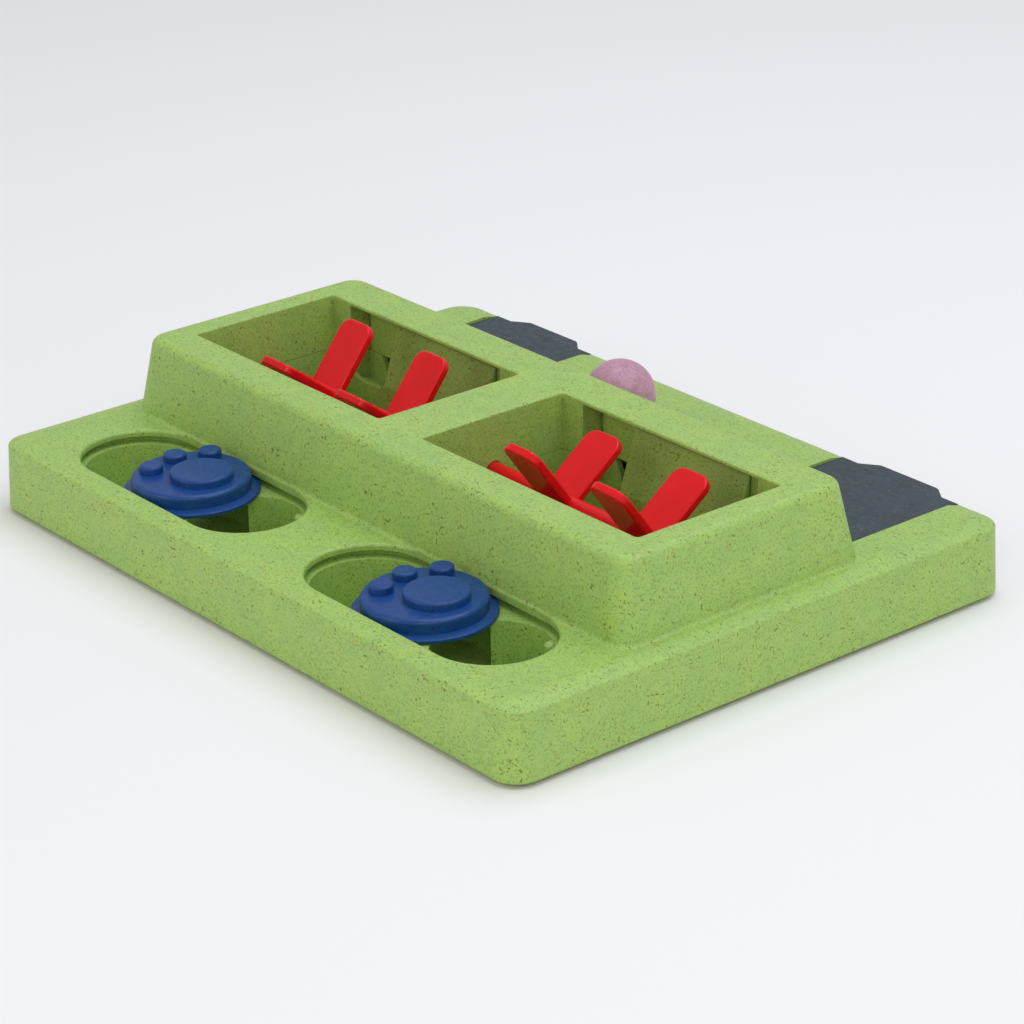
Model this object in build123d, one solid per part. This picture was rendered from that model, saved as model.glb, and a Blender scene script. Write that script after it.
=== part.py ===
from build123d import *
import math
import os

# Dog puzzle feeder: a hollow moulded board with two paw sliders over treat cups, two paddle rotors in
# open wells, two hinged lids over treat bins and one lift-out ball peg.
# Millimetres, +Z up. Origin: centre of the base outline at the level the rubber feet stand on.
# +X runs along the slider edge (left to right), +Y from the sliders towards the lids.

os.makedirs("parts", exist_ok=True)

# Base
base_length = 301.6           # at the rim
base_width = 225.0
base_draft = 0.9              # how far each side leans in over its height
deck_height = 28.5
corner_radius = 10.0
bevel_width = 6.5             # sloping border of the deck
bevel_drop = 1.7
bevel_crease_radius = 6.0
rim_radius = 1.0
skirt_edge_radius = 0.6
skirt_bottom = 1.8            # lower edge of the skirt above the ground
wall = 2.6                    # moulded wall of the top shell
deck_thickness = 2.4
fit_gap = 0.3                 # play between moulded pieces that slide or turn

# Raised block over the wells
block_length = 282.0          # at deck height
block_front_y = -58.2
block_back_y = 52.3
block_height = 58.2           # above the ground
block_side_draft = 4.0        # how far each side leans in over its height
block_front_draft = 4.7
block_back_draft = 5.8
block_corner_radius = 8.0
block_edge_radius = 3.6
block_cove_radius = 1.6

# Windows and the wells under them
window_length = 113.3
window_width = 64.6
window_centre_y = -5.76
window_bridge = 24.4          # plate left between the two windows
window_corner_radius = 1.2
window_edge_radius = 0.8
apron = 2.2                   # wall of the window aprons and of the wells
split_gap = 0.2               # between the aprons above and the wells below, at the rotor axis
pier_width = 11.2             # full-depth stretch of back apron at each end of a window
recess_depth = 8.6            # how far the back apron steps back between the piers
recess_roof = 1.4             # plate left over the recess
recess_slit = 1.3             # slit between the recess wall and each pier
left_passage_width = 20.0     # gaps between piers and baffle, through which treats leave the well
right_passage_width = 12.0
sill_height = 27.0
sill_corner_radius = 4.0
baffle_foot = 29.0            # the baffle stands straight to here, then leans back
baffle_lean = 18.2            # degrees
baffle_edge = 0.8             # thickness left at the baffle's upper edge
baffle_corner_radius = 3.0
jamb_top_width = 8.0          # low panel beside the left passage, at the recess
jamb_foot_width = 12.0
tongue_drop = 3.4             # fall of the tongue behind each sill
tongue_taper = 2.6

# Floor tray
floor_bottom = 2.4
floor_thickness = 2.6
rib = 2.0                     # thin tray walls

# Sliders, their slots and the cups below
slot_length = 110.1
slot_width = 44.4
slot_centre_x = 69.3
slot_centre_y = -80.9
slot_edge_radius = 1.2
ledge_drop = 5.1              # from the deck down to the ledge that the slider's flange runs on
groove_reach = 3.3            # how far the groove goes in under the slot's lip
cup_inset = 1.4               # ledge left inside the slot's edge
cups_per_slot = 3
nub_radius = 2.4              # upright nub in the back wall of each slot's right cup
nub_direction = 65.0          # degrees from +X about the cup's centre
left_slider_shift = -0.2      # where each slider lies at rest, from the middle of its slot
right_slider_shift = -2.4
flange_reach = 2.8            # how far the slider's flange goes in under the lip
flange_thickness = 2.1
flange_slope = 0.7            # fall of the flange's upper face towards its rim
slider_stand = 2.3            # slider's face above the deck
slider_edge_radius = 1.6
slider_skin = 2.2
paw_relief = 3.0
paw_edge_radius = 1.0
pad_margin = 4.9              # from the pad to the slider's edge
pad_offset = 5.4              # pad centre from the slider's centre, towards +X
pad_offset_y = 1.0
toe_margin = 3.3
toe_radius = 4.3
toe_direction = 175.0         # of the middle toe, degrees from +X
toe_spread = 38.6             # between neighbouring toes

# Paddle rotors
axle_radius = 3.6
axle_insert = 3.6             # length of axle held in each bearing
bearing_depth = 6.6
bearing_wall = 4.0
blade_wall_gap = 2.3          # from a turning blade's tip to the well's sides
blade_floor_gap = 1.4
blade_width = 17.3
blade_thickness = 3.4
blade_tip_radius = 4.8
blade_edge_radius = 0.9
blades_per_set = 4
blade_set_spacing = 45.4
left_rotor_turn = 52.0        # degrees from +Y up to the first blade
right_rotor_turn = 36.3
left_rotor_play = 2.7         # how far the rotor lies pushed towards +X
right_rotor_play = 1.2

# Lids over the rear bins
lid_width = 57.0
lid_centre_x = 99.3
lid_thickness = 2.4
lid_sink = 0.8                # lid top below the deck
lid_gap = 0.5                 # gap round the lid in its opening
lid_front_gap = 0.8           # between the lid and the block's back
lid_nose_radius = 1.2         # lets the lid's front edge pass the block as it opens
hinge_set_back = 3.7          # hinge axis behind the block
barrel_radius = 2.3
hinge_pin_radius = 1.5
hinge_pin_length = 2.8
ear_thickness = 3.2
lug_width = 3.2               # lug under each end of a lid's hinge
lug_depth = 4.2
lug_drop = 4.3                # below the hinge axis
tab_root_width = 41.0
tab_tip_width = 28.5
tab_reach = 4.4               # how far the finger tab stands out behind the base
tab_root_run = 5.0            # how far the tab runs on into the lid
tab_tilt = 2.5                # degrees
tab_tip_radius = 3.0

# Lift-out ball peg and its cup
ball_radius = 13.3
peg_y = 65.0
collar_radius = 10.6
collar_height = 1.9
plug_radius = 7.8
plug_depth = 13.5
plug_wall = 1.8
plug_seat = 1.5               # how far the plug reaches into the mouth of its cup
plug_play = 0.6

# Rear bins
bin_inner_x = 20.0            # wall between each bin and the peg's cup
bin_margin = 4.6              # between the lid's outer side and the bin's outer wall
bin_back_gap = 3.4            # between the bin's back wall and the skirt
bin_wall_height = 20.0

# Fixings and feet
screw_inset_x = 8.6
screw_inset_y = 9.4
boss_radius = 3.6
screw_shank_radius = 1.45
screw_head_radius = 3.3
screw_head_height = 1.4
screw_length = 12.0
pilot_depth = 14.0
foot_radius = 7.5
foot_pocket_depth = 0.8
foot_inset_x = 32.0
foot_inset_y = 20.0

# Places that follow from the sizes above
deck_under = deck_height - deck_thickness
ledge_height = deck_height - ledge_drop
slider_top = deck_height + slider_stand
rim_height = deck_height - bevel_drop
block_roof = block_height - deck_thickness
floor_top = floor_bottom + floor_thickness
blade_reach = window_width / 2 - blade_wall_gap
split_height = floor_top + blade_floor_gap + blade_reach
window_centre_x = (window_bridge + window_length) / 2
window_back_y = window_centre_y + window_width / 2
recess_back_y = window_back_y + recess_depth
between_piers = window_length - 2 * pier_width
baffle_width = between_piers - left_passage_width - right_passage_width
lid_top = deck_height - lid_sink
lid_under = lid_top - lid_thickness
hinge_y = block_back_y + hinge_set_back
hinge_z = lid_top - barrel_radius - 0.1
cup_radius = slot_width / 2 - cup_inset
slider_radius = slot_width / 2 - fit_gap - 0.1
cup_pitch = (slot_length - slot_width) / (cups_per_slot - 1)
left_and_right = {"left": -1, "right": 1}


def save(name, *solids):
    """Write one sub-part, a single solid or a group of them."""
    shape = solids[0] if len(solids) == 1 else Compound(children=list(solids))
    export_step(shape, f"parts/{name}.step")


def slab(length, width, bottom, top, radius, x=0.0, y=0.0):
    """A rounded rectangle raised from bottom to top."""
    return extrude(Pos(x, y, bottom) * RectangleRounded(length, width, radius), top - bottom)


def brick(x_low, x_high, y_low, y_high, bottom, top):
    size = (x_high - x_low, y_high - y_low, top - bottom)
    return Pos((x_low + x_high) / 2, (y_low + y_high) / 2, (bottom + top) / 2) * Box(*size)


def rod(radius, x_low, x_high, y, z):
    """A round bar along X."""
    return Pos((x_low + x_high) / 2, y, z) * Rot(0, 90, 0) * Cylinder(radius, x_high - x_low)


def post(radius, x, y, bottom, top):
    """A round bar along Z."""
    return Pos(x, y, (bottom + top) / 2) * Cylinder(radius, top - bottom)


def slot_slab(grow, bottom, top, x):
    """The slider slot's outline, grown all round, raised from bottom to top."""
    outline = SlotOverall(slot_length + 2 * grow, slot_width + 2 * grow)
    return extrude(Pos(x, slot_centre_y, bottom) * outline, top - bottom)


def edges_at(shape, height, tolerance=0.01):
    """The edges of a shape that lie level at one height."""
    return shape.edges().filter_by(lambda edge: all(
        abs(edge.position_at(place).Z - height) < tolerance for place in (0, 0.5, 1)))


def base_outline(inset, height):
    """The base's outline at one height, inset by a wall."""
    spread = base_draft * (1 - height / rim_height) - inset
    outline = RectangleRounded(base_length + 2 * spread, base_width + 2 * spread, corner_radius - inset)
    return Pos(0, 0, height) * outline


def base_form(inset, bottom, top):
    return loft([base_outline(inset, bottom), base_outline(inset, top)], ruled=True)


def block_form(inset, bottom, top):
    """The raised block's leaning outline, inset by a wall, between two heights."""
    def outline(height):
        share = (height - deck_height) / (block_height - deck_height)
        front = block_front_y + block_front_draft * share + inset
        back = block_back_y - block_back_draft * share - inset
        length = block_length - 2 * (block_side_draft * share + inset)
        radius = block_corner_radius - min(inset, block_corner_radius - 1)
        return Pos(0, (front + back) / 2, height) * RectangleRounded(length, back - front, radius)
    return loft([outline(bottom), outline(top)], ruled=True)


def well_outline(side, grow, recessed):
    """A window's outline; with its recess, the line the apron follows behind the window."""
    x = side * window_centre_x
    outline = Pos(x, window_centre_y) * Rectangle(window_length + 2 * grow, window_width + 2 * grow)
    if recessed:
        length = between_piers + 2 * grow
        depth = recess_depth + 1
        outline += Pos(x, recess_back_y + grow - depth / 2) * Rectangle(length, depth)
    return outline


def bearing_blocks(side, bottom, top):
    """The blocks behind a well's end walls that carry the rotor's axle."""
    half = axle_radius + fit_gap + bearing_wall
    reach = window_length / 2 + bearing_depth + 1.6
    middle = side * window_centre_x
    blocks = []
    for end in (-1, 1):
        inner = middle + end * (window_length / 2 + 0.5 * apron)
        outer = middle + end * reach
        blocks.append(brick(min(inner, outer), max(inner, outer), window_centre_y - half,
                            window_centre_y + half, bottom, top))
    return blocks


def bearing_bore(side):
    reach = window_length / 2 + bearing_depth
    middle = side * window_centre_x
    return rod(axle_radius + fit_gap, middle - reach, middle + reach, window_centre_y, split_height)


def screw_places():
    x = base_length / 2 - screw_inset_x
    y = base_width / 2 - screw_inset_y
    corners = [(sx * x, sy * y) for sx in (-1, 1) for sy in (-1, 1)]
    return corners + [(-x, 0), (x, 0), (0, -y), (0, y)]


def foot_places():
    x = base_length / 2 - foot_inset_x
    y = base_width / 2 - foot_inset_y
    return [(sx * x, sy * y) for sx in (-1, 1) for sy in (-1, 1)]


def lid_opening(side):
    """The cut for a lid: from the block to past the rear wall, open to the back."""
    half = lid_width / 2 + lid_gap
    x = side * lid_centre_x
    return brick(x - half, x + half, block_back_y, base_width / 2 + 1, lid_under - 0.3, deck_height + 1)


def top_shell():
    outside = base_form(0, skirt_bottom, rim_height)
    outside += loft([base_outline(0, rim_height), base_outline(bevel_width, deck_height)], ruled=True)
    outside = fillet(edges_at(outside, deck_height), bevel_crease_radius)
    outside = fillet(edges_at(outside, rim_height), rim_radius)
    outside = fillet(edges_at(outside, skirt_bottom), skirt_edge_radius)
    block = block_form(0, deck_height - 1, block_height)
    block = fillet(edges_at(block, block_height), block_edge_radius)
    outside += block
    outside = fillet(edges_at(outside, deck_height).filter_by(
        lambda edge: abs(edge.center().X) < block_length / 2 + 0.5
        and abs(edge.center().Y) < -block_front_y + 0.5), block_cove_radius)
    hollow = base_form(wall, skirt_bottom - 1, deck_under)
    hollow += block_form(wall, deck_under - 1, block_roof)
    shell = outside - hollow

    # Aprons hang from the roof round each window, down to the split line
    for side in left_and_right.values():
        ring = well_outline(side, apron, True) - well_outline(side, 0, True)
        shell += extrude(Pos(0, 0, split_height) * ring, block_roof - split_height + 0.5)
        for bearing in bearing_blocks(side, split_height, split_height + 9):
            shell += bearing
    shell -= bearing_bore(-1) + bearing_bore(1)
    for side in left_and_right.values():
        window = slab(window_length, window_width, block_roof - 1, block_height + 1,
                      window_corner_radius, side * window_centre_x, window_centre_y)
        shell -= window
        x, half = side * window_centre_x, between_piers / 2
        shell -= brick(x - half, x + half, window_back_y - 1, recess_back_y, block_roof - 1,
                       block_height - recess_roof)
        for low in (x - half, x + half - recess_slit):
            shell -= brick(low, low + recess_slit, recess_back_y - 0.5, recess_back_y + apron + 0.5,
                           split_height - 1, block_roof - 2)
    shell = fillet(edges_at(shell, block_height).filter_by(
        lambda edge: abs(edge.center().Y - window_centre_y) < window_width / 2 + 0.1
        and abs(edge.center().X) < window_centre_x + window_length / 2 + 0.1), window_edge_radius)

    # Slots for the sliders, with a rounded lip
    for side in left_and_right.values():
        shell -= slot_slab(0, deck_under - 1, deck_height + 1, side * slot_centre_x)
    shell = fillet(edges_at(shell, deck_height).filter_by(
        lambda edge: abs(edge.center().Y - slot_centre_y) < slot_width / 2 + 0.1
        and abs(edge.center().X) < slot_centre_x + slot_length / 2 + 0.1), slot_edge_radius)

    # Openings for the lids, with an ear at each end of their hinges
    ear_half = hinge_pin_radius + fit_gap + 2.2
    for side in left_and_right.values():
        shell -= lid_opening(side)
        for end in (-1, 1):
            near = side * lid_centre_x + end * (lid_width / 2 + lid_gap)
            far = near + end * ear_thickness
            shell += brick(min(near, far), max(near, far), hinge_y - ear_half, hinge_y + ear_half,
                           hinge_z - ear_half, deck_under + 0.5)
        reach = lid_width / 2 + lid_gap + ear_thickness + 1
        x = side * lid_centre_x
        shell -= rod(hinge_pin_radius + fit_gap, x - reach, x + reach, hinge_y, hinge_z)

    # Peg hole and screw bosses
    shell -= post(plug_radius + fit_gap, 0, peg_y, deck_under - 1, deck_height + 1)
    for x, y in screw_places():
        boss = post(boss_radius, x, y, floor_top, deck_under + 0.5)
        boss -= post(screw_shank_radius + 0.1, x, y, floor_top - 1, floor_top + pilot_depth)
        shell += boss
    return shell


def slider_cups(side):
    """One slot's cup walls, the ledge over them and the rim round the groove."""
    x = side * slot_centre_x
    rim = slot_slab(groove_reach + rib, ledge_height - 1, deck_under - split_gap, x)
    rim -= slot_slab(groove_reach, ledge_height - 2, deck_height, x)
    ledge = slot_slab(groove_reach + rib, ledge_height - rib, ledge_height, x)
    walls, cups = [], []
    for number in range(cups_per_slot):
        cup_x = x + (number - (cups_per_slot - 1) / 2) * cup_pitch
        walls.append(post(cup_radius + rib, cup_x, slot_centre_y, floor_top - 0.5, ledge_height - 0.5))
        cups.append(post(cup_radius, cup_x, slot_centre_y, floor_top, ledge_height + 1))
    solid = rim + ledge
    for piece in walls:
        solid += piece
    for piece in cups:
        solid -= piece
    angle = math.radians(nub_direction)
    nub = post(nub_radius, x + cup_pitch + (cup_radius - 0.8) * math.cos(angle),
               slot_centre_y + (cup_radius - 0.8) * math.sin(angle), floor_top - 0.5, ledge_height - 0.4)
    return solid + fillet(edges_at(nub, ledge_height - 0.4), nub_radius - 0.4)


def baffle(low_x):
    """The leaning panel in a well's back wall: a shell, open behind, rounded along its right side."""
    back = recess_back_y - fit_gap
    slope = math.tan(math.radians(baffle_lean))
    top = baffle_foot + (recess_depth - fit_gap - baffle_edge) / slope

    def outline(height, length, largest_radius):
        front = window_back_y + slope * max(height - baffle_foot, 0)
        depth = back - front
        radius = min(largest_radius, depth / 2 - 0.05)
        plan = RectangleRounded(length, depth, radius) if radius > 0 else Rectangle(length, depth)
        return Pos(low_x + baffle_width - length / 2, (front + back) / 2, height) * plan

    half, quarter = baffle_width / 2, baffle_width / 4
    panel = Part()
    for heights in ((floor_top - 0.5, baffle_foot), (baffle_foot, top)):
        panel += loft([outline(height, half, baffle_corner_radius) for height in heights], ruled=True)
        panel += loft([Pos(-quarter, 0, 0) * outline(height, 3 * quarter, 0) for height in heights], ruled=True)
    inner_top = baffle_foot + (recess_depth - fit_gap - apron) / slope
    inside = Polyline((window_back_y + apron, floor_top), (window_back_y + apron, baffle_foot),
                      (back, inner_top), (back + 1, inner_top), (back + 1, floor_top), close=True)
    inside = Plane.YZ.offset(low_x + apron) * make_face(inside)
    return panel - extrude(inside, baffle_width - 2 * apron)


def jamb(pier):
    """The left passage's side wall and the low panel that narrows it where it meets the recess."""
    bottom, top = floor_top - 0.5, split_height - split_gap
    line = Polyline((pier - apron, bottom), (pier + jamb_foot_width, bottom),
                    (pier + jamb_foot_width, sill_height), (pier + jamb_top_width, top),
                    (pier - apron, top), close=True)
    panel = extrude(Plane.XZ.offset(-recess_back_y - apron) * make_face(line), apron)
    return panel + brick(pier - apron, pier, window_back_y + apron / 2, recess_back_y + apron, bottom, top)


def well(side):
    """One rotor well: end walls to the axle, low sills, a leaning baffle and a tongue per passage."""
    x = side * window_centre_x
    left_pier, right_pier = x - between_piers / 2, x + between_piers / 2
    passages = ((left_pier, left_pier + left_passage_width), (right_pier - right_passage_width, right_pier))
    ring = well_outline(side, apron, False) - well_outline(side, 0, False)
    solid = extrude(Pos(0, 0, floor_top - 0.5) * ring, split_height - split_gap - floor_top + 0.5)
    for bearing in bearing_blocks(side, split_height - 14, split_height - split_gap):
        solid += bearing
    solid -= bearing_bore(side)
    solid -= brick(left_pier, right_pier, window_back_y - 1, window_back_y + apron + 1,
                   baffle_foot, split_height)
    for low, high in passages:
        notch = RectangleRounded(high - low, 40, sill_corner_radius)
        notch = Plane.XZ.offset(-window_back_y - apron - 1) * Pos((low + high) / 2, sill_height + 20) * notch
        solid -= extrude(notch, apron + 2)
    solid += baffle(left_pier + left_passage_width)
    start, finish = window_back_y + apron / 2, recess_back_y + 11
    surface = sill_height - 0.3
    line = Polyline((start, surface), (finish, surface - tongue_drop), (finish, surface - tongue_drop - rib),
                    (start, surface - rib), close=True)
    for low, high in passages:
        tongue = extrude(Plane.YZ.offset(low) * make_face(line), high - low)
        plan = Polyline((low + 0.1, start - 1), (high - 0.1, start - 1), (high - tongue_taper, finish),
                        (low + tongue_taper, finish), close=True)
        solid += tongue & extrude(make_face(plan), block_height)
    return solid + jamb(left_pier)


def rear_bins():
    """Upright walls round the two bins, each fed by both passages of its well, and the peg's cup."""
    walls = []
    front = window_back_y + apron / 2
    back = base_width / 2 - wall - bin_back_gap
    outer = lid_centre_x + lid_width / 2 + bin_margin
    for side in left_and_right.values():
        for x, start in ((bin_inner_x, front), (outer, front + 20)):
            walls.append(brick(side * x - rib / 2, side * x + rib / 2, start, back, floor_top - 0.5,
                               bin_wall_height))
        ends = sorted((side * (bin_inner_x - rib / 2), side * (outer + rib / 2)))
        walls.append(brick(*ends, back - rib, back, floor_top - 0.5, bin_wall_height))
    cup_top = deck_height - plug_depth + plug_seat
    cup = post(plug_radius + plug_play + rib, 0, peg_y, floor_top - 0.5, cup_top)
    cup -= post(plug_radius + plug_play, 0, peg_y, floor_top, cup_top + 1)
    walls.append(cup)
    return walls


def base_tray():
    tray = base_form(wall + fit_gap, floor_bottom, floor_top)
    for side in left_and_right.values():
        tray += slider_cups(side)
        tray += well(side)
    for piece in rear_bins():
        tray += piece
    for x, y in screw_places():
        tray -= post(screw_shank_radius + 0.3, x, y, floor_bottom - 1, floor_top + 1)
        tray -= post(screw_head_radius + 0.3, x, y, floor_bottom - 1, floor_bottom + screw_head_height)
    for x, y in foot_places():
        tray -= post(foot_radius + 0.1, x, y, floor_bottom - 1, floor_bottom + foot_pocket_depth)
    return tray


def paw_slider(side, shift):
    x, y = side * slot_centre_x + shift, slot_centre_y
    flange_bottom = ledge_height + fit_gap
    flange_radius = slot_width / 2 + flange_reach
    rim_top = flange_bottom + flange_thickness - flange_slope
    section = Polyline((0, flange_bottom), (flange_radius, flange_bottom), (flange_radius, rim_top),
                       (slider_radius, rim_top + flange_slope), (0, rim_top + flange_slope), close=True)
    flange = Pos(x, y) * revolve(Plane.XZ * make_face(section), Axis.Z)
    flange = fillet(flange.edges().filter_by(GeomType.CIRCLE).group_by(SortBy.RADIUS)[-1], 0.4)
    body = post(slider_radius, x, y, flange_bottom, slider_top)
    body = fillet(edges_at(body, slider_top), slider_edge_radius)
    slider = flange + body
    slider -= post(slider_radius - slider_skin, x, y, flange_bottom - 1, slider_top - slider_skin)
    pad_x, pad_y = x + pad_offset, y + pad_offset_y
    pads = [(slider_radius - pad_margin - pad_offset, pad_x, pad_y)]
    toe_orbit = slider_radius - toe_margin - toe_radius + pad_offset
    for number in (-1, 0, 1):
        angle = math.radians(toe_direction + number * toe_spread)
        pads.append((toe_radius, pad_x + toe_orbit * math.cos(angle), pad_y + toe_orbit * math.sin(angle)))
    for radius, place_x, place_y in pads:
        pad = post(radius, place_x, place_y, slider_top - 1, slider_top + paw_relief)
        slider += fillet(edges_at(pad, slider_top + paw_relief), paw_edge_radius)
    return slider


def paddle_rotor(side, turn, play):
    """An axle along X with two sets of flat blades, turned to where it lies at rest."""
    x = side * window_centre_x + play
    half = window_length / 2 + axle_insert
    rotor = rod(axle_radius, x - half, x + half, 0, 0)
    rotor = chamfer(rotor.edges(), 0.6)
    for place in (-1, 1):
        set_x = x + place * blade_set_spacing / 2
        for number in range(blades_per_set):
            blade = Pos(set_x, blade_reach / 2, 0) * Box(blade_width, blade_reach, blade_thickness)
            tips = blade.edges().filter_by(Axis.Z).sort_by(Axis.Y)[-2:]
            blade = fillet(tips, blade_tip_radius)
            rim = [edge for edge in blade.edges() if edge.center().Y > axle_radius
                   and abs(edge.tangent_at(0.5).Z) < 0.5]
            blade = fillet(rim, blade_edge_radius)
            rotor += Rot(number * 360 / blades_per_set, 0, 0) * blade
    return Pos(0, window_centre_y, split_height) * Rot(turn, 0, 0) * rotor


def flap_lid(side):
    """A flat lid with a hinge barrel at the block and a finger tab over the rear edge."""
    x = side * lid_centre_x
    front = block_back_y + lid_front_gap
    back = base_width / 2
    lid = brick(x - lid_width / 2, x + lid_width / 2, front, back, lid_under, lid_top)
    lid = fillet(lid.edges().filter_by(Axis.X).sort_by(Axis.Y)[-2:].sort_by(Axis.Z)[-1:], lid_thickness - 0.3)
    lid = fillet(lid.edges().filter_by(Axis.X).sort_by(Axis.Y)[:2].sort_by(Axis.Z)[-1:], lid_nose_radius)
    tab_back = back + tab_reach
    root, tip = tab_root_width / 2, tab_tip_width / 2
    plan = Polyline((x - root, back - tab_root_run), (x + root, back - tab_root_run), (x + root, back - 0.5),
                    (x + tip, tab_back), (x - tip, tab_back), (x - root, back - 0.5), close=True)
    tab = extrude(make_face(plan), lid_thickness - 0.2)
    tab = fillet(tab.edges().filter_by(Axis.Z).sort_by(Axis.Y)[-2:], tab_tip_radius)
    rim = [edge for edge in tab.edges() if edge.center().Y > back and abs(edge.tangent_at(0.5).Z) < 0.5]
    tab = fillet(rim, 0.8)
    pivot = Pos(0, back - tab_root_run, lid_under + 0.2)
    lid += pivot * Rot(-tab_tilt, 0, 0) * Pos(0, tab_root_run - back, 0) * tab
    half = lid_width / 2
    for low in (x - half, x + half - lug_width):
        lid += brick(low, low + lug_width, hinge_y - lug_depth, hinge_y, hinge_z - lug_drop, lid_under + 0.5)
    lid += rod(barrel_radius, x - half, x + half, hinge_y, hinge_z)
    lid += rod(hinge_pin_radius, x - half - hinge_pin_length, x + half + hinge_pin_length, hinge_y, hinge_z)
    return lid


def ball_peg():
    """Ball, collar and plug in one moulding, cored from below."""
    collar_top = deck_height + collar_height
    ball_centre = deck_height + collar_height + ball_radius - 0.2
    peg = Pos(0, peg_y, ball_centre) * Sphere(ball_radius)
    collar = post(collar_radius, 0, peg_y, deck_height, collar_top)
    peg += fillet(edges_at(collar, collar_top), 0.8)
    plug = post(plug_radius, 0, peg_y, deck_height - plug_depth, ball_centre)
    peg += fillet(edges_at(plug, deck_height - plug_depth), 0.6)
    bore = post(plug_radius - plug_wall, 0, peg_y, deck_height - plug_depth - 1, ball_centre)
    return peg - bore - Pos(0, peg_y, ball_centre) * Sphere(plug_radius - plug_wall)


def base_screw(x, y):
    head_top = floor_bottom + screw_head_height
    head = post(screw_head_radius, x, y, floor_bottom, head_top)
    return head + post(screw_shank_radius, x, y, head_top - 0.2, head_top + screw_length)


def rubber_foot(x, y):
    foot = post(foot_radius, x, y, 0, floor_bottom + foot_pocket_depth)
    return chamfer(edges_at(foot, 0), 0.6)


save("top_shell", top_shell())
save("base_tray", base_tray())
for name, side in left_and_right.items():
    save(f"{name}_flap_lid", flap_lid(side))
save("left_paw_slider", paw_slider(-1, left_slider_shift))
save("right_paw_slider", paw_slider(1, right_slider_shift))
save("left_paddle_rotor", paddle_rotor(-1, left_rotor_turn, left_rotor_play))
save("right_paddle_rotor", paddle_rotor(1, right_rotor_turn, right_rotor_play))
save("ball_peg", ball_peg())
save("base_screws", *[base_screw(x, y) for x, y in screw_places()])
for name, (x, y) in zip(("front_left", "rear_left", "front_right", "rear_right"), foot_places()):
    save(f"{name}_foot", rubber_foot(x, y))
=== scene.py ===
import math

import bmesh
import bpy
from mathutils import Matrix, Vector

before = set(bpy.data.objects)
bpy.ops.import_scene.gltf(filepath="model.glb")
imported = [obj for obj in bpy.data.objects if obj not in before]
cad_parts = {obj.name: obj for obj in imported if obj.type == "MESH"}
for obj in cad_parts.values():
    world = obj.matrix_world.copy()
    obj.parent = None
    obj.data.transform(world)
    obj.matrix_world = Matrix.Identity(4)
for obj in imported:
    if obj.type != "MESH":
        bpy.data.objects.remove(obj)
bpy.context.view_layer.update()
print("frame loaded with", len(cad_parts), "nodes")


# camera and light

cameraView = {
    "place": (0.873972, -0.703713, 0.507704),
    "azimuth": 50.6786,
    "elevation": 23.7275,
    "roll": -0.9202,
    "lens": 118.503,
    "sensor": 36.0,
    "near": 0.01,
    "far": 50.0,
}
studio = {
    "aim": (0.0, 0.0, 0.03),          # what every softbox faces
    "airColour": (1.0, 1.0, 1.0, 1.0),
    "airStrength": 0.52,
}
# place and side in metres, power in watts
softboxes = {
    "overhead": {"place": (0.1, 0.35, 1.5), "side": 1.3, "power": 10.0, "colour": (0.94, 1.0, 1.30)},
    "fillRight": {"place": (1.2, 0.1, 1.3), "side": 0.7, "power": 3.1, "colour": (1.0, 1.0, 1.0)},
    "fillFront": {"place": (-0.3, -1.6, 0.8), "side": 0.9, "power": 3.2, "colour": (1.0, 1.0, 0.80)},
    "fillNear": {"place": (1.05, -0.95, 0.75), "side": 0.5, "power": 2.4, "colour": (1.0, 1.0, 0.90)},
}


def addCamera(settings):
    az, el = math.radians(settings["azimuth"]), math.radians(settings["elevation"])
    back = Vector((math.sin(az) * math.cos(el), -math.cos(az) * math.cos(el), math.sin(el)))
    side = Vector((math.cos(az), math.sin(az), 0.0))
    level = Matrix((side, back.cross(side), back)).transposed()
    turn = level @ Matrix.Rotation(math.radians(settings["roll"]), 3, "Z")
    data = bpy.data.cameras.new("camera")
    data.lens, data.sensor_width = settings["lens"], settings["sensor"]
    data.clip_start, data.clip_end = settings["near"], settings["far"]
    camera = bpy.data.objects.new("camera", data)
    camera.matrix_world = Matrix.Translation(settings["place"]) @ turn.to_4x4()
    bpy.context.scene.collection.objects.link(camera)
    bpy.context.scene.camera = camera


def addSoftbox(name, settings, target):
    data = bpy.data.lights.new(name, "AREA")
    data.shape, data.size, data.energy = "SQUARE", settings["side"], settings["power"]
    data.color = settings["colour"]
    light = bpy.data.objects.new(name, data)
    toTarget = Vector(target) - Vector(settings["place"])
    turn = toTarget.to_track_quat("-Z", "Y").to_matrix().to_4x4()
    light.matrix_world = Matrix.Translation(settings["place"]) @ turn
    bpy.context.scene.collection.objects.link(light)


def addStudioAir(settings):
    # the even light from all round
    world = bpy.data.worlds.new("studioAir")
    world.use_nodes = True
    background = world.node_tree.nodes["Background"]
    background.inputs["Color"].default_value = settings["airColour"]
    background.inputs["Strength"].default_value = settings["airStrength"]
    bpy.context.scene.world = world


addCamera(cameraView)
for boxName, boxSettings in softboxes.items():
    addSoftbox(boxName, boxSettings, studio["aim"])
addStudioAir(studio)
bpy.context.scene.view_settings.view_transform = "Standard"
print("camera and light placed")


# shader maths

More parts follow.
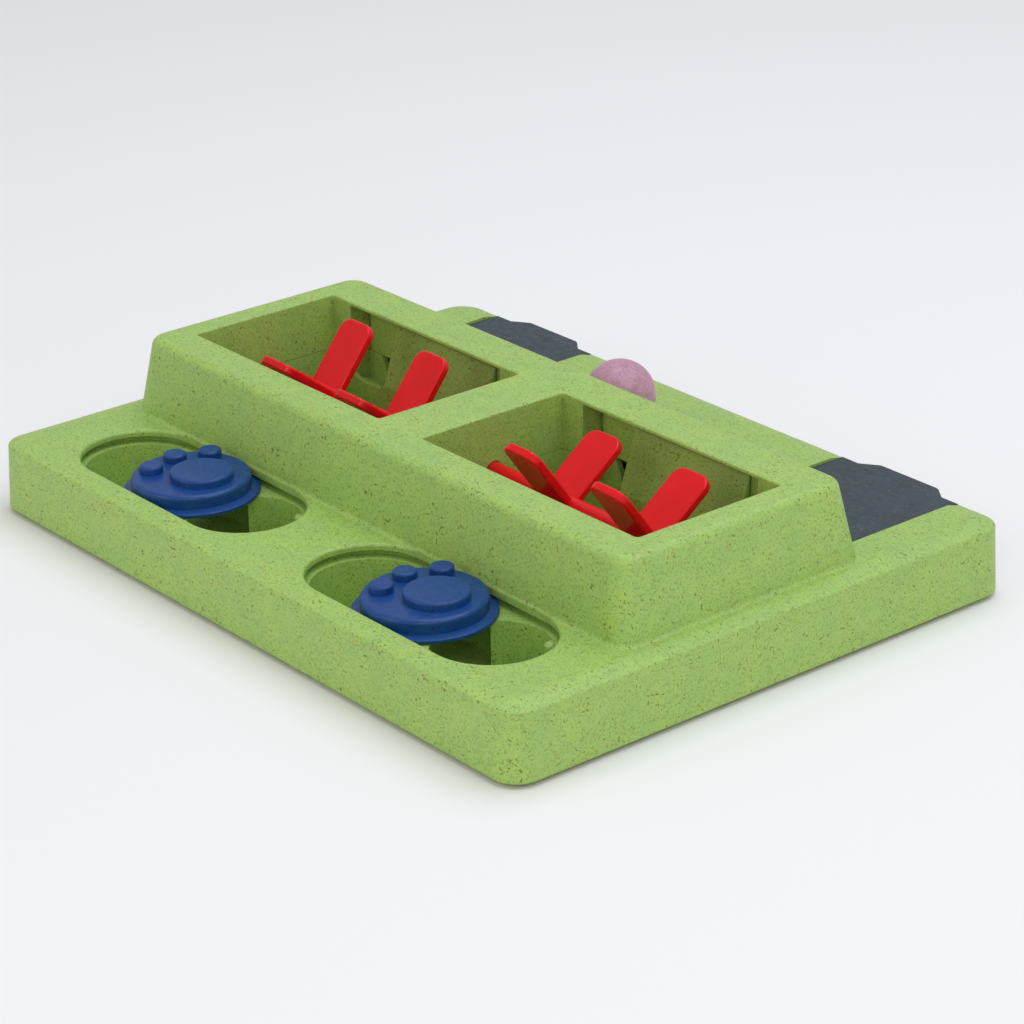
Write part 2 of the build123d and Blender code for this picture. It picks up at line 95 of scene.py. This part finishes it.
class Wire:
    # one socket of a node tree, with sums on it written as expressions

    def __init__(self, tree, socket=None):
        self.tree, self.socket = tree, socket

    def node(self, kind, settings=None, inputs=None, out=0):
        made = self.tree.nodes.new(kind)
        for name, value in (settings or {}).items():
            setattr(made, name, value)
        for name, value in (inputs or {}).items():
            if isinstance(value, Wire):
                self.tree.links.new(value.socket, made.inputs[name])
            else:
                made.inputs[name].default_value = value
        return Wire(self.tree, made.outputs[out] if made.outputs else None)

    def out(self, name):
        return Wire(self.tree, self.socket.node.outputs[name])

    def maths(self, operation, first, second=0.0):
        return self.node("ShaderNodeMath", {"operation": operation}, {0: first, 1: second})

    def __abs__(self):
        return self.maths("ABSOLUTE", self)

    def __add__(self, other):
        return self.maths("ADD", self, other)

    def __radd__(self, other):
        return self.maths("ADD", other, self)

    def __sub__(self, other):
        return self.maths("SUBTRACT", self, other)

    def __rsub__(self, other):
        return self.maths("SUBTRACT", other, self)

    def __mul__(self, other):
        return self.maths("MULTIPLY", self, other)

    def __rmul__(self, other):
        return self.maths("MULTIPLY", other, self)


def newMaterial(name):
    material = bpy.data.materials.new(name)
    material.use_nodes = True
    tree = material.node_tree
    tree.nodes.clear()
    return material, Wire(tree)


def finishMaterial(start, shader):
    # shader holds the sockets of the Principled node, wires among them
    surface = start.node("ShaderNodeBsdfPrincipled", None, shader)
    start.node("ShaderNodeOutputMaterial", None, {"Surface": surface})


def millimetres(start):
    # the piece's own coordinates, as numbers of millimetres
    perMetre = 1000.0
    place = start.node("ShaderNodeTexCoord").out("Object")
    return place.node("ShaderNodeVectorMath", {"operation": "SCALE"}, {0: place, "Scale": perMetre})


def stretched(point, factors):
    return point.node("ShaderNodeVectorMath", {"operation": "MULTIPLY"}, {0: point, 1: factors})


def cloud(point, size, detail, harshness=0.5):
    # smooth noise from 0 to 1 with features of about this size in millimetres
    return point.node("ShaderNodeTexNoise", None,
                      {"Vector": point, "Scale": 1.0 / size, "Detail": detail, "Roughness": harshness})


def between(value, level, ends=(0.0, 1.0)):
    # goes smoothly from one end to the other while the value crosses the level's two limits
    return value.node("ShaderNodeMapRange", {"interpolation_type": "SMOOTHSTEP"},
                      {"Value": value, "From Min": level[0], "From Max": level[1],
                       "To Min": ends[0], "To Max": ends[1]})


def drift(point, pattern):
    # a number that wanders over the surface from one end to the other
    return between(cloud(point, pattern["size"], pattern["detail"]), pattern["level"], pattern["ends"])


def mixed(factor, first, second):
    return factor.node("ShaderNodeMix", {"data_type": "RGBA"}, {0: factor, 6: first, 7: second}, out=2)


def bumped(height, bump):
    return height.node("ShaderNodeBump", None,
                       {"Strength": bump["strength"], "Distance": bump["depth"], "Height": height})


# how grains and strands are drawn, whatever their colour and size
grainDrawing = {"patchDetail": 2.0, "spotDetail": 1.0}
strandDrawing = {"lineDetail": 0.0, "middle": 0.5, "endDetail": 1.0, "endLevel": (0.52, 0.60)}


def fibres(point, family):
    # chopped fibre cut by the surface: small spots where fine noise runs low, thicker in patches
    patches = cloud(point, family["patch"], grainDrawing["patchDetail"]) * family["gather"]
    spots = cloud(stretched(point, family["stretch"]), family["size"], grainDrawing["spotDetail"]) + patches
    low, high = family["level"]
    lift = family["gather"] / 2
    return between(spots, (low + lift, high + lift), (family["strength"], 0.0))


def strands(point, strand):
    # thin curved lines along the middle level of a noise, cut short by a second noise
    ridge = cloud(stretched(point, strand["stretch"]), strand["size"], strandDrawing["lineDetail"])
    line = between(abs(ridge - strandDrawing["middle"]), (0.0, strand["width"]), (1.0, 0.0))
    lengths = cloud(point, strand["length"], strandDrawing["endDetail"])
    return line * between(lengths, strandDrawing["endLevel"], (0.0, strand["strength"]))


# speckled composite with husk grains in it: green board, blue sliders and pink peg

greenComposite = {
    "base": (0.346, 0.542, 0.122, 1.0),
    "yellowed": (0.381, 0.565, 0.114, 1.0),
    "shaded": (0.307, 0.505, 0.132, 1.0),
    "pale": (0.420, 0.600, 0.190, 1.0),
    "tints": {
        "yellowed": {"size": 14.0, "detail": 3.0, "level": (0.35, 0.65), "ends": (0.0, 1.0)},
        "shaded": {"size": 5.0, "detail": 3.0, "level": (0.45, 0.75), "ends": (0.0, 0.7)},
        "pale": {"size": 0.75, "detail": 2.0, "level": (0.50, 0.72), "ends": (0.0, 0.6)},
    },
    "roughness": {"size": 2.5, "detail": 3.0, "level": (0.3, 0.7), "ends": (0.40, 0.52)},
    "bump": {"size": 0.9, "detail": 3.0, "harshness": 0.6, "strength": 0.10, "depth": 0.0004},
    "specular": 0.5,
    "coat": 0.0,
    "coatRoughness": 0.25,
    "families": [
        {"colour": (0.190, 0.258, 0.042, 1.0), "stretch": (0.9, 1.0, 1.0), "size": 0.80,
         "level": (0.36, 0.46), "strength": 0.42, "patch": 4.0, "gather": 0.25},
        {"colour": (0.115, 0.130, 0.015, 1.0), "stretch": (0.7, 1.0, 0.9), "size": 0.95,
         "level": (0.25, 0.34), "strength": 0.80, "patch": 5.0, "gather": 0.35},
        {"colour": (0.420, 0.260, 0.070, 1.0), "stretch": (0.8, 0.7, 1.0), "size": 0.90,
         "level": (0.22, 0.34), "strength": 0.50, "patch": 7.0, "gather": 0.45},
    ],
    "strands": [
        {"colour": (0.145, 0.165, 0.025, 1.0), "stretch": (0.8, 1.0, 1.0), "size": 2.0,
         "width": 0.035, "length": 1.3, "strength": 0.45},
    ],
}
blueComposite = dict(
    greenComposite,
    base=(0.004, 0.052, 0.225, 1.0),
    yellowed=(0.006, 0.058, 0.216, 1.0),
    shaded=(0.003, 0.040, 0.192, 1.0),
    pale=(0.014, 0.076, 0.270, 1.0),
    specular=0.25,
    coat=0.25,
    coatRoughness=0.16,
    families=[
        {"colour": (0.008, 0.018, 0.055, 1.0), "stretch": (0.7, 1.0, 1.0), "size": 0.90,
         "level": (0.24, 0.34), "strength": 0.75, "patch": 5.0, "gather": 0.30},
    ],
    strands=[
        {"colour": (0.070, 0.090, 0.110, 1.0), "stretch": (0.8, 1.0, 1.0), "size": 2.6,
         "width": 0.030, "length": 2.2, "strength": 0.40},
    ],
)
pinkComposite = dict(
    greenComposite,
    base=(0.500, 0.250, 0.335, 1.0),
    yellowed=(0.530, 0.280, 0.350, 1.0),
    shaded=(0.390, 0.170, 0.240, 1.0),
    pale=(0.560, 0.330, 0.400, 1.0),
    coat=0.15,
    families=[
        {"colour": (0.260, 0.085, 0.130, 1.0), "stretch": (0.7, 1.0, 1.0), "size": 0.90,
         "level": (0.30, 0.44), "strength": 0.40, "patch": 5.0, "gather": 0.30},
    ],
    strands=[
        {"colour": (0.220, 0.070, 0.110, 1.0), "stretch": (0.8, 1.0, 1.0), "size": 2.2,
         "width": 0.045, "length": 2.0, "strength": 0.35},
    ],
)


def makeComposite(name, settings):
    material, start = newMaterial(name)
    point = millimetres(start)
    colour = settings["base"]
    for tint, pattern in settings["tints"].items():
        colour = mixed(drift(point, pattern), colour, settings[tint])
    for family in settings["families"]:
        colour = mixed(fibres(point, family), colour, family["colour"])
    for strand in settings["strands"]:
        colour = mixed(strands(point, strand), colour, strand["colour"])
    bump = settings["bump"]
    grain = cloud(point, bump["size"], bump["detail"], bump["harshness"])
    finishMaterial(start, {
        "Base Color": colour,
        "Roughness": drift(point, settings["roughness"]),
        "Normal": bumped(grain, bump),
        "Specular IOR Level": settings["specular"],
        "Coat Weight": settings["coat"],
        "Coat Roughness": settings["coatRoughness"],
    })
    return material


# glossy moulded plastic of the paddles, lit a little from within

redPlastic = {
    "base": (0.760, 0.006, 0.010, 1.0),
    "deep": (0.710, 0.005, 0.008, 1.0),
    "deepening": {"size": 14.0, "detail": 2.0, "level": (0.35, 0.65), "ends": (0.0, 1.0)},
    "roughness": {"size": 4.0, "detail": 3.0, "level": (0.3, 0.7), "ends": (0.30, 0.36)},
    "bump": {"size": 2.6, "detail": 2.0, "strength": 0.03, "depth": 0.0003},
    "specular": 0.10,
    "coat": 0.35,
    "coatRoughness": 0.10,
    "glow": 0.30,
    "glowDepth": 0.005,               # metres
    "glowReach": (1.0, 0.15, 0.12),   # red, green and blue
}


def makeRedPlastic(name, settings):
    material, start = newMaterial(name)
    point = millimetres(start)
    bump = settings["bump"]
    finishMaterial(start, {
        "Base Color": mixed(drift(point, settings["deepening"]), settings["base"], settings["deep"]),
        "Roughness": drift(point, settings["roughness"]),
        "Normal": bumped(cloud(point, bump["size"], bump["detail"]), bump),
        "Specular IOR Level": settings["specular"],
        "Coat Weight": settings["coat"],
        "Coat Roughness": settings["coatRoughness"],
        "Subsurface Weight": settings["glow"],
        "Subsurface Scale": settings["glowDepth"],
        "Subsurface Radius": settings["glowReach"],
    })
    return material


# matt slate plastic of the lids, with faint brushed marks along X

slatePlastic = {
    "base": (0.032, 0.052, 0.062, 1.0),
    "dark": (0.027, 0.042, 0.050, 1.0),
    "darkening": {"size": 9.0, "detail": 3.0, "level": (0.35, 0.65), "ends": (0.0, 1.0)},
    "pale": (0.060, 0.084, 0.094, 1.0),
    "marks": {"stretch": (0.25, 1.0, 1.0), "size": 0.7, "detail": 3.0, "harshness": 0.6,
              "level": (0.58, 0.78)},
    "scuffs": {"colour": (0.115, 0.145, 0.155, 1.0), "stretch": (1.0, 0.8, 1.0), "size": 2.2,
               "width": 0.050, "length": 1.6, "strength": 0.50},
    "roughness": {"size": 3.0, "detail": 3.0, "level": (0.3, 0.7), "ends": (0.42, 0.58)},
    "bump": {"strength": 0.08, "depth": 0.0003},
    "specular": 0.5,
}


def makeSlatePlastic(name, settings):
    material, start = newMaterial(name)
    point = millimetres(start)
    brush, scuffs = settings["marks"], settings["scuffs"]
    marks = cloud(stretched(point, brush["stretch"]), brush["size"], brush["detail"], brush["harshness"])
    colour = mixed(drift(point, settings["darkening"]), settings["base"], settings["dark"])
    colour = mixed(between(marks, brush["level"]), colour, settings["pale"])
    colour = mixed(strands(point, scuffs), colour, scuffs["colour"])
    finishMaterial(start, {
        "Base Color": colour,
        "Roughness": drift(point, settings["roughness"]),
        "Normal": bumped(marks, settings["bump"]),
        "Specular IOR Level": settings["specular"],
    })
    return material


# zinc plated screws

screwSteel = {
    "base": (0.55, 0.56, 0.57, 1.0),
    "dull": (0.40, 0.40, 0.41, 1.0),
    "stains": {"size": 1.6, "detail": 3.0},
    "dullLevel": (0.4, 0.7),
    "roughLevel": (0.3, 0.7),
    "roughness": (0.25, 0.45),
}


def makeScrewSteel(name, settings):
    material, start = newMaterial(name)
    stains = cloud(millimetres(start), settings["stains"]["size"], settings["stains"]["detail"])
    finishMaterial(start, {
        "Base Color": mixed(between(stains, settings["dullLevel"]), settings["base"], settings["dull"]),
        "Metallic": 1.0,
        "Roughness": between(stains, settings["roughLevel"], settings["roughness"]),
    })
    return material


# rubber feet, a little dusty

footRubber = {
    "base": (0.020, 0.020, 0.022, 1.0),
    "dusty": (0.050, 0.050, 0.050, 1.0),
    "dust": {"size": 3.0, "detail": 4.0},
    "dustLevel": (0.45, 0.75),
    "roughLevel": (0.3, 0.7),
    "roughness": (0.65, 0.85),
    "bump": {"size": 0.4, "detail": 2.0, "strength": 0.15, "depth": 0.0003},
}


def makeFootRubber(name, settings):
    material, start = newMaterial(name)
    point = millimetres(start)
    dust = cloud(point, settings["dust"]["size"], settings["dust"]["detail"])
    bump = settings["bump"]
    finishMaterial(start, {
        "Base Color": mixed(between(dust, settings["dustLevel"]), settings["base"], settings["dusty"]),
        "Roughness": between(dust, settings["roughLevel"], settings["roughness"]),
        "Normal": bumped(cloud(point, bump["size"], bump["detail"]), bump),
    })
    return material


# each node's finish

finishes = {
    "green_composite": makeComposite("greenComposite", greenComposite),
    "blue_composite": makeComposite("blueComposite", blueComposite),
    "pink_composite": makeComposite("pinkComposite", pinkComposite),
    "red_plastic": makeRedPlastic("redPlastic", redPlastic),
    "slate_plastic": makeSlatePlastic("slatePlastic", slatePlastic),
    "screw_steel": makeScrewSteel("screwSteel", screwSteel),
    "foot_rubber": makeFootRubber("footRubber", footRubber),
}
nodeFinishes = {
    "top_shell": "green_composite",
    "base_tray": "green_composite",
    "left_paw_slider": "blue_composite",
    "right_paw_slider": "blue_composite",
    "ball_peg": "pink_composite",
    "left_paddle_rotor": "red_plastic",
    "right_paddle_rotor": "red_plastic",
    "left_flap_lid": "slate_plastic",
    "right_flap_lid": "slate_plastic",
    "base_screws": "screw_steel",
    "front_left_foot": "foot_rubber",
    "front_right_foot": "foot_rubber",
    "rear_left_foot": "foot_rubber",
    "rear_right_foot": "foot_rubber",
}
for nodeName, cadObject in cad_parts.items():
    cadObject.data.materials.clear()
    cadObject.data.materials.append(finishes[nodeFinishes[nodeName]])
print("finishes made:", len(finishes))


# floor, flat and pale

floorSheet = {"side": 12.0, "colour": (0.90, 0.89, 0.85, 1.0), "roughness": 0.9}


def addFloor(settings):
    material, start = newMaterial("floorPaint")
    finishMaterial(start, {"Base Color": settings["colour"], "Roughness": settings["roughness"]})
    sheet = bmesh.new()
    bmesh.ops.create_grid(sheet, x_segments=1, y_segments=1, size=settings["side"] / 2)
    mesh = bpy.data.meshes.new("floor")
    sheet.to_mesh(mesh)
    sheet.free()
    mesh.materials.append(material)
    floor = bpy.data.objects.new("floor", mesh)
    bpy.context.scene.collection.objects.link(floor)


addFloor(floorSheet)
print("floor laid")
